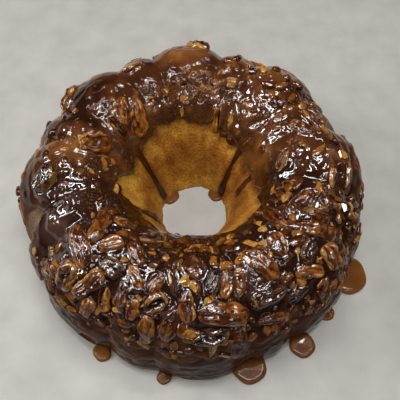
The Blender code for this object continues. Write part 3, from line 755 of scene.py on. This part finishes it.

# The amber tone is paler over hidden pieces, at the glaze's edges, by the nuts and on the walls. It is darker
# on the near side, a painted shade between the crowded nuts, and paler everywhere else, partly a painted
# sheen.
amber = (0.32 - 0.2 * front) * on_top + 0.45 * hump(edge, 2.5) + 0.14 * lumps(flat, 11.0, 19)
amber += 0.10 * hump(np.maximum(nearest, 0.0), 1.5) + 0.17 - 0.36 * front + 0.36 * wall
# Paler amber patches; the one on the far lobe, at azimuth 93, is partly a painted sheen.
amber += 0.30 * on_glaze(((176, 108, 9, 12), (93, 68, 18, 34), (58, 86, 18, 20)))
amber += 0.24 * on_glaze(((15, 150, 20, 15),))
amber -= 0.22 * on_glaze(((148, 100, 18, 18),))
wet = 0.9 - 0.87 * eased((np.where(np.cos(np.radians(glaze_azimuth)) > 0, 89, 82) - glaze_across) / 24)
wet *= 1 - 0.76 * on_glaze(DULL)
wet *= 1 - 0.55 * on_glaze(HALF_DULL)
bare_lift = SPONGE_LIFT - 1.3
glaze_points = ring_point(glaze_azimuth, glaze_across, bare_lift + (lift - bare_lift) * cover, True)
glaze_points[:, 2] = np.maximum(glaze_points[:, 2], 0.2)

# A roughness that wanders between two values, for caramel alone and for caramel on nuts.
uneven_gloss, given, result = new_group(
    "uneven_gloss", "Roughness", Smoothest=0.05, Roughest=0.15, Size=3.0, Detail=4.0
)
gloss_range = uneven_gloss.nodes.new("ShaderNodeMapRange")
streaks = placed(uneven_gloss, mottle, Size=given["Size"], Detail=given["Detail"])
plug(uneven_gloss, gloss_range, {"Value": streaks, "From Min": 0.3, "From Max": 0.7})
plug(uneven_gloss, gloss_range, {"To Min": given["Smoothest"], "To Max": given["Roughest"]})
uneven_gloss.links.new(gloss_range.outputs["Result"], result["Roughness"])

glaze_material, tree, shader = new_material("caramel_glaze")
# The caramel's tone, with the painted shade and painted sheen in it.
film_and_painted_light = placed(tree, uneven_tone, Tone=attribute(tree, "amber"), Size=16.0, Amount=0.5)
caramel = ramp(
    tree,
    film_and_painted_light,
    (0.0, (0.014, 0.0038, 0.0014)),
    (0.3, (0.052, 0.0155, 0.0042)),
    (0.6, (0.125, 0.045, 0.010)),
    (1.0, (0.26, 0.110, 0.026)),
)
specks = placed(tree, mottle, Size=1.0, Detail=2.0)
grains = ramp(tree, specks, (0.56, (0, 0, 0)), (0.66, (1, 1, 1)))
grains = reckon(tree, "MULTIPLY", grains, attribute(tree, "grainy"))
caramel = mixed(tree, grains, caramel, (0.125, 0.052, 0.012))
# A purple-grey painted sheen over the thick glaze patches.
caramel = mixed(tree, attribute(tree, "bloom"), caramel, (0.088, 0.046, 0.036))
caramel_gloss = placed(tree, uneven_gloss, Smoothest=0.05, Roughest=0.13, Size=3.0, Detail=4.0)
plug(tree, shader, {"Base Color": caramel, "Roughness": caramel_gloss, "Specular IOR Level": 0.02})
plug(tree, shader, {"Coat Weight": attribute(tree, "wet"), "Coat Roughness": 0.04, "Coat IOR": 1.68})
rough_height = reckon(tree, "MULTIPLY", specks, reckon(tree, "MULTIPLY", attribute(tree, "grainy"), 3.5))
ripples = placed(tree, mottle, Size=2.2, Detail=3.0)
plug(tree, shader, {"Normal": bump(tree, reckon(tree, "ADD", ripples, rough_height), 0.16, 0.8)})

# Where the painted sheen lies, patchy within each patch.
painted_sheen_mask = 0.36 * on_glaze(PAINTED_SHEEN_PATCHES) * np.clip(0.65 + 1.1 * lumps(flat, 8.0, 25), 0, 1)
grainy = np.clip(crumbly + 0.25 * eased((glaze_across - 128) / 6), 0, 1)
# Only the quads that the glaze covers, and the points that they stand on, are kept.
glaze_quads = strips(glaze_rows, glaze_columns)
glaze_quads = glaze_quads[(cover > 0.02)[glaze_quads].any(axis=1)]
used, glaze_quads = np.unique(glaze_quads, return_inverse=True)
glaze = add_mesh(
    "glaze",
    glaze_points[used],
    glaze_quads.reshape(-1, 4),
    glaze_material,
    solid=False,
    amber=amber[used],
    wet=wet[used],
    bloom=painted_sheen_mask[used],
    grainy=grainy[used],
)
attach(glaze, "root")

# Glaze that ran off while it was warm: flat rounded pools of caramel round the foot and inside the hole, thin
# at the rim and still joined to the cake. Each is azimuth, how far its free edge is from the axis, half
# width, height.
OUTER_POOLS = (
    (239.5, 126.0, 6.5, 2.4), (261.0, 125.5, 5.0, 2.2), (288.0, 129.5, 12.0, 3.0), (306.5, 131.0, 9.0, 2.8),
    (320.0, 125.0, 5.5, 2.2), (336.0, 134.0, 14.0, 3.2), (55.0, 123.0, 7.0, 2.2), (96.0, 125.5, 12.0, 2.8),
    (176.0, 124.0, 10.0, 2.6),
)
INNER_POOLS = ((140.0, 17.5, 7.0, 2.4), (46.0, 18.0, 6.0, 2.2))


def add_dome(points, faces, thin, azimuth, reach, half_width, height, inward):
    """One pool: rings of points from its rounded rim to its middle."""
    a = math.radians(azimuth)
    along = np.array((-math.sin(a), math.cos(a), 0.0))
    out = np.array((math.cos(a), math.sin(a), 0.0)) * (-1.0 if inward else 1.0)
    depth = half_width * 0.95
    centre = out * ((-reach if inward else reach) - depth)
    count, rings = 64, 12
    first = len(points)
    for ring in range(rings):
        s = ring / (rings - 1)
        scale = 1.0 - s**1.6
        if ring == 0:
            scale, up = 0.97, 0.0
        else:
            up = min(1.0, (1 - scale + 0.02) / 0.22) ** 0.5
            up = 0.25 + 0.75 * up - 0.08 * (1 - scale)
        for k in range(count):
            t = 2 * math.pi * k / count
            wobble = 1 + 0.05 * math.sin(2 * t + azimuth) + 0.025 * math.sin(5 * t + 2 * azimuth)
            place = centre + (along * math.cos(t) * half_width + out * math.sin(t) * depth) * scale * wobble
            points.append(place + np.array((0, 0, up * height)))
            thin.append(1.0 - up)
    faces.extend(strips(rings, count, first))


pool_points, pool_faces, pool_thin = [], [], []
for pool in OUTER_POOLS:
    add_dome(pool_points, pool_faces, pool_thin, *pool, False)
for pool in INNER_POOLS:
    add_dome(pool_points, pool_faces, pool_thin, *pool, True)


pool_amber, pool_wet = [0.50 + 0.42 * t for t in pool_thin], [0.16] * len(pool_thin)
pools = add_mesh("foot_pools", pool_points, pool_faces, glaze_material, amber=pool_amber, wet=pool_wet)
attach(pools, "root")

# Runs of glaze down the wall of the hole: warm caramel that crept over the crumb and set as it slowed, each a
# rounded strand with a fuller end.
run_points, run_faces, run_amber = [], [], []
for azimuth, start, end, width, rise in RUNS:
    steps, around = 64, 20
    first = len(run_points)
    for step in range(steps + 1):
        t = step / steps
        across = start + (end - start) * t
        here = float(run_turn(azimuth, t))
        tangent, _, out = ring_frame(here, across)
        swell = (0.66 + 0.40 * t**4) * min(1.0, 0.35 + 3 * t)
        swell *= 1 + 0.16 * math.sin(9 * t + azimuth) + 0.10 * math.sin(23 * t + 2 * azimuth)
        if t > 0.86:
            swell *= math.sqrt(max(0.0, 1 - ((t - 0.86) / 0.141) ** 2))
        centre = Vector(ring_point(here, across, SPONGE_LIFT, True))
        for k in range(around):
            turn = 2 * math.pi * k / around
            side = tangent * math.cos(turn) * width / 2 * swell
            run_points.append(tuple(centre + side + out * math.sin(turn) * (rise + 0.7) * swell))
            run_amber.append(0.05 + 0.35 * abs(math.cos(turn)))
    run_faces.extend(strips(steps + 1, around, first))
    for end_ring in (first, first + steps * around):
        run_faces.append(range(end_ring, end_ring + around))
run_points = [(x, y, max(z, 0.1)) for x, y, z in run_points]
run_wet = [0.3] * len(run_amber)
runs = add_mesh("hole_runs", run_points, run_faces, glaze_material, amber=run_amber, wet=run_wet)
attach(runs, "root")

# Pecan halves: whole half kernels pressed into the wet glaze. The back is domed, with a middle ridge between
# two long grooves; the flat side has one furrow between two plump lobes with pale golden rims.
PECAN_THICKNESS = 0.62
PECAN_SUNK = 0.30
ON_EDGE_ROLL = 58
# A half shorter than this many times its width has lost an end.
STUBBY = 2.1
# Halves with a paler and with a darker skin than the rest, by number.
GOLDEN = (5, 10, 12, 14, 20, 27, 48, 51)
DARK = (4, 15, 23, 34, 37, 38, 41, 43, 46)


def pecan_material(name, groove, middle, ridge, flesh):
    material, tree, shader = new_material(name)
    relief = attribute(tree, "relief")
    grain = placed(tree, mottle, Size=1.1, Detail=3.0)
    skin_tone = reckon(tree, "ADD", relief, attribute(tree, "tone"))
    skin_tone = placed(tree, uneven_tone, Tone=skin_tone, Size=3.4, Amount=0.5)
    skin_colour = ramp(tree, skin_tone, (0.08, groove), (0.52, middle), (0.94, ridge))
    dull_flesh = (0.36 * flesh[0], 0.28 * flesh[1], 0.25 * flesh[2])
    flakes = placed(tree, mottle, Size=2.4, Detail=4.0)
    flakes = reckon(tree, "ADD", flakes, placed(tree, mottle, Size=0.8, Detail=3.0))
    flaky = reckon(tree, "MULTIPLY", flakes, 0.5)
    flesh_colour = ramp(tree, flaky, (0.40, dull_flesh), (0.58, flesh))
    colour = mixed(tree, attribute(tree, "flesh"), skin_colour, flesh_colour)
    coated = placed(tree, mottle, Size=7.0, Detail=3.0)
    coated = ramp(tree, coated, (0.52, (0, 0, 0)), (0.66, (0.6, 0.6, 0.6)))
    colour = mixed(tree, coated, colour, (0.040, 0.011, 0.0035))
    nut_gloss = placed(tree, uneven_gloss, Smoothest=0.07, Roughest=0.16, Size=1.1, Detail=3.0)
    plug(tree, shader, {"Base Color": colour, "Roughness": nut_gloss, "Specular IOR Level": 0.02})
    plug(tree, shader, {"Coat Weight": attribute(tree, "wet"), "Coat Roughness": 0.03, "Coat IOR": 1.68})
    plug(tree, shader, {"Normal": bump(tree, grain, 0.34, 0.9)})
    return material


pecan_skin = pecan_material(
    "glazed_pecan_skin",
    groove=(0.005, 0.0015, 0.0008),
    middle=(0.048, 0.0110, 0.0013),
    ridge=(0.235, 0.078, 0.0088),
    flesh=(0.41, 0.215, 0.040),
)


def gloss_at(across):
    """Nuts on the wall and on the rim of the hole are less thickly glazed."""
    return float(np.interp(across, (56, 68, 106, 117), (0.4, 0.9, 0.9, 0.22)))


def kernel(azimuth, across, heading, length, width, up, roll, seed, tone):
    """Points, quads and colour masks of a pecan half lying on the surface, its ends drooping to follow it."""
    axis, tangent, inward, out = lying(azimuth, across, heading)
    thick = width * PECAN_THICKNESS
    centre = Vector(ring_point(azimuth, across))
    radius = centre.xy.length
    heights = []
    for t in (-0.8, 0.0, 0.8):
        go = axis * t * length / 2
        there = Vector(ring_point(azimuth + math.degrees(go.dot(tangent) / radius), across + go.dot(inward)))
        heights.append((there - centre).dot(out))
    droop = 0.5 * (heights[1] - (heights[0] + heights[2]) / 2)
    lean = 0.7 * (heights[2] - heights[0]) / (0.8 * length)
    axis = (axis + out * lean).normalized()
    side = out.cross(axis).normalized()
    out = axis.cross(side)
    roll = math.radians(roll + (ON_EDGE_ROLL if up == "edge" else 0))
    side, out = side * math.cos(roll) + out * math.sin(roll), out * math.cos(roll) - side * math.sin(roll)
    axis, side, out, centre = (np.array(v) for v in (axis, side, out, centre))

    stations, around = 54, 64
    ends = np.sin(np.linspace(-math.pi / 2, math.pi / 2, stations))
    t, turn = spread(ends, np.linspace(0, 2 * math.pi, around, endpoint=False))
    own = random.Random(seed)
    blunt = own.choice((-1, 1))
    groove_depth = own.uniform(0.30, 0.75)
    ridges_at = ((-0.72, 0.42), (0.0, 0.37), (0.72, 0.42))
    if own.random() < 0.3:
        ridges_at = ((-0.54, 0.60), (0.54, 0.60))
    bow = own.uniform(-0.22, 0.22) * (1 - t * t)
    full = np.maximum(1 - np.abs(t) ** own.uniform(2.2, 3.8), 0.0) ** 0.50 * (1 - 0.13 * blunt * t)
    c, s = np.cos(turn), np.sin(turn)
    plump = lumps(np.stack([t * 3, np.sign(c), 0 * t], axis=1) + seed * 3.3, 1.0, seed + 30)
    full = full * (1 + 0.10 * plump)
    x = np.sign(c) * np.abs(c) ** 0.84
    top = s > 0
    fine = np.stack([t * length / 2, x * width / 2, s * thick], axis=1) + seed * 31.7
    ripple = lumps(fine, (2.8, 1.7, 1.8), seed + 3)
    wrinkle = lumps(fine, (1.7, 1.4, 1.4), seed + 9)
    swell = lumps(fine, (4.5, 2.8, 3.0), seed + 6)
    fade = eased((1 - np.abs(t)) / 0.25)
    sway = 0.07 * np.sin(own.uniform(2.5, 5) * t + seed) + 0.07 * ripple
    if up == "flat":
        y = np.where(top, 0.40 + 0.58 * np.abs(s) ** 0.5, 0.40 * (1 - np.abs(s) ** 0.9))
        dent = np.maximum(0.0, swell) * top
        open_end = eased((1.0 + blunt * t) / 0.9)
        furrow = hump(x + sway, 0.24 + 0.05 * np.sin(3 * t + seed)) * open_end * top
        y -= 0.50 * furrow + 0.16 * dent
        y -= 0.07 * top * np.abs(wrinkle)
        relief = 0.58 - 0.75 * furrow - 0.2 * dent + 0.26 * ripple + 0.16 * wrinkle
        rim = hump(np.abs(x) - 0.80, 0.17) * top
        rim = rim + hump(blunt * t + 0.85, 0.12) * top
        flesh = 0.85 * rim * eased(0.6 + 0.7 * ripple)
    else:
        ridge = np.zeros(len(t))
        for middle, half in ridges_at:
            ridge = np.maximum(ridge, 1 - ((x * (1 + 0.2 * t * t) + sway - middle) / half) ** 2)
        hollow = (1 - np.sqrt(ridge)) * groove_depth * (0.85 + 0.4 * swell) * fade * top * (np.abs(x) < 0.8)
        y = np.where(top, 0.34 + 0.66 * np.abs(s) ** 0.66 * (1 - hollow), 0.34 * (1 - np.abs(s) ** 0.9))
        y += top * (0.10 * swell - 0.09 * np.abs(wrinkle))
        relief = 0.56 - 0.9 * hollow + 0.22 * ripple + 0.16 * wrinkle + 0.22 * lumps(fine, 8.0, seed + 12)
        rim = hump(s - 0.12, 0.26) * (c**2)
        flesh = 0.8 * rim * eased(0.1 + 1.2 * swell) + (0.5 * eased(-c * 2 + 0.4) if up == "edge" else 0.0)
        bare_side = own.choice((-1, 1))
        bare_amount = max(0.0, own.uniform(-0.5, 1.0))
        flesh = np.maximum(flesh, bare_amount * top * eased((c * bare_side - 0.60 + 0.2 * ripple) / 0.18))
    if tone < -0.2:
        flesh = 0.3 * flesh
    tip = np.where(np.abs(t) > 0.999, 0.0, 1.0)
    if up == "back" and length / width < STUBBY:
        snap = own.uniform(0.62, 0.80)
        past = np.maximum(blunt * t - snap, 0.0)
        t = t - blunt * past * (0.86 + 0.1 * ripple)
        flesh = np.maximum(flesh, 0.9 * eased(past / 0.04) * eased(0.75 + 0.5 * wrinkle))
    height = (y - PECAN_SUNK) * thick * np.maximum(full, 0.0) ** 0.8 - droop * (t / 0.8) ** 2
    height = height + 0.12 * ripple * full * top + 0.05 * thick * (1 - tip)
    warp = np.stack([lumps(fine, 6.0, seed + k) for k in (20, 21, 22)], axis=1) * (0.11 * width)
    points = (
        centre
        + np.outer(t * length / 2 * 1.03, axis)
        + np.outer((x + bow) * full * width / 2 * 1.07, side)
        + np.outer(height * 1.06, out)
        + warp * (full * (0.3 + 0.7 * top))[:, None]
    )
    masks = {
        "relief": np.clip(relief, 0, 1),
        "flesh": np.clip(flesh, 0, 1),
        "tone": np.full(len(points), tone),
        "wet": np.full(len(points), gloss_at(across)),
    }
    return points, strips(stations, around), masks


for number, (row, roll) in enumerate(zip(PECANS, ROLLS), 1):
    tone = 0.16 if number in GOLDEN else -0.22 if number in DARK else 0.10 * math.sin(number * 2.4)
    points, quads, masks = kernel(*row, roll, number, tone)
    pecan = add_mesh(f"pecan_half_{number:02d}", points, quads, pecan_skin, **masks)
    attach(pecan, "root")
    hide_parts(f"pecan_{number:02d}")

# Chopped pecan: kernels cut small and strewn over the wet glaze, rough blocks with skin outside and pale
# flesh on the broken faces.
chopped_points, chopped_faces = [], []
chopped_masks = {"relief": [], "flesh": [], "tone": [], "wet": []}
chop_rng = random.Random(33)
# Chunks that stand up along the far right crest: azimuth, across, heading, length, width, how deep, how pale.
CREST_CHUNKS = (
    (72.0, 100.0, 160, 10.5, 6.2, 0.15, 0.0), (70.0, 92.0, 60, 8.0, 5.2, 0.10, 0.9),
    (60.0, 101.0, 30, 8.5, 5.8, 0.12, 0.7), (55.5, 97.0, 120, 8.5, 5.8, 0.10, 0.9),
    (48.5, 106.0, 10, 10.5, 6.0, 0.20, 0.3), (43.0, 101.0, 80, 9.5, 6.0, 0.15, 0.5),
    (37.5, 111.0, 5, 10.0, 6.2, 0.16, 0.9), (34.5, 100.0, 110, 10.5, 6.6, 0.12, 0.0),
    (30.5, 93.0, 95, 10.0, 6.4, 0.12, 0.1), (24.0, 94.0, 30, 10.0, 5.8, 0.12, 0.4),
    (14.5, 94.0, 20, 10.0, 5.4, 0.15, 0.4), (8.0, 91.0, 40, 9.0, 5.4, 0.15, 0.3),
    (1.0, 86.0, 70, 9.0, 5.6, 0.15, 0.5), (64.0, 92.0, 140, 8.0, 5.4, 0.12, 0.3),
    (52.0, 88.0, 70, 8.5, 5.6, 0.10, 0.8), (46.0, 90.0, 150, 9.0, 5.8, 0.10, 0.0),
    (40.0, 87.0, 20, 9.0, 6.0, 0.10, 0.15), (30.0, 83.0, 60, 8.0, 5.4, 0.10, 0.5),
    (20.5, 86.0, 130, 8.5, 5.4, 0.12, 0.8),
)


def add_chop(azimuth, across, heading, length, width, sunk=0.34, paleness=None):
    """One rounded lump with two to five faces snapped off."""
    axis, _, _, out = lying(azimuth, across, heading)
    side = out.cross(axis)
    thick = width * 0.74
    centre = Vector(ring_point(azimuth, across, thick * (0.5 - sunk)))
    bm = bmesh.new()
    bmesh.ops.create_icosphere(bm, subdivisions=3 if length > 7 else 2, radius=1.0)
    for vert in bm.verts:
        vert.co = [math.copysign(abs(c) ** 0.8, c) for c in vert.co]
    broken = bm.faces.layers.int.new("broken")
    for _ in range(chop_rng.choice((2, 3, 4, 5))):
        way = Vector([chop_rng.gauss(0, 1) for _ in range(3)]).normalized()
        cut = bmesh.ops.bisect_plane(
            bm,
            geom=bm.verts[:] + bm.edges[:] + bm.faces[:],
            plane_co=way * chop_rng.uniform(0.42, 0.80),
            plane_no=way,
            clear_outer=True,
        )
        rim = [e for e in cut["geom_cut"] if isinstance(e, bmesh.types.BMEdge)]
        for face in bmesh.ops.edgeloop_fill(bm, edges=rim)["faces"]:
            face[broken] = 1
    tone = chop_rng.uniform(-0.25, 0.2)
    pale = chop_rng.choice((0.0, 0.15, 0.4, 0.8)) if paleness is None else paleness
    first = len(chopped_points)
    bm.verts.index_update()
    for vert in bm.verts:
        x, y, z = vert.co
        spot = centre + axis * x * length / 2 + side * y * width / 2 + out * z * thick / 2
        chopped_points.append(tuple(spot))
    for face in bm.faces:
        chopped_faces.append([first + v.index for v in face.verts])
        chopped_masks["flesh"].append(pale if face[broken] else 0.0)
        chopped_masks["relief"].append(0.66 if face[broken] else 0.5)
        chopped_masks["tone"].append(tone)
        chopped_masks["wet"].append(gloss_at(across))
    bm.free()


for bit in ALL_BITS:
    add_chop(*bit)
small_rng = random.Random(5)


def strew(count, azimuths, acrosses, widths, stretch, gap, sunk, calm=1.0, left_out=1.0, stray_every=0):
    """Chips that fell over part of the ring, clear of the nuts.

    Those on glaze calmer than calm are left out, or only the share left_out of them. With stray_every, one
    chip in so many falls anywhere round the ring.
    """
    fallen = 0
    while fallen < count:
        azimuth = small_rng.uniform(0, 360) if stray_every else 0.0
        if not stray_every or fallen % stray_every:
            azimuth = small_rng.uniform(*azimuths)
        across = small_rng.uniform(*acrosses)
        width = small_rng.uniform(*widths)
        here = np.array([azimuth]), np.array([across])
        if patches(*here, CALM)[0] > calm and (left_out == 1.0 or small_rng.random() < left_out):
            continue
        if min(distance_to_nut(*here, row)[0] for row in PECANS + ALL_BITS) < width * gap:
            continue
        add_chop(azimuth, across, small_rng.uniform(0, 180), width * small_rng.uniform(*stretch), width, sunk)
        fallen += 1


strew(80, (208, 350), (48, 122), (4.2, 6.4), (1.4, 2.1), 0.22, 0.3, calm=0.3)
strew(210, (212, 348), (46, 130), (2.4, 5.8), (1.1, 1.8), 0.4, 0.2, calm=0.35, left_out=0.93, stray_every=6)
strew(34, (294, 354), (42, 66), (3.0, 5.2), (1.1, 1.8), 0.4, 0.25)
for chunk in CREST_CHUNKS:
    add_chop(*chunk)
chopped = add_mesh(
    "chopped_pecan", chopped_points, chopped_faces, pecan_skin, domain="FACE", sharp=38.0, **chopped_masks
)
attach(chopped, "root")
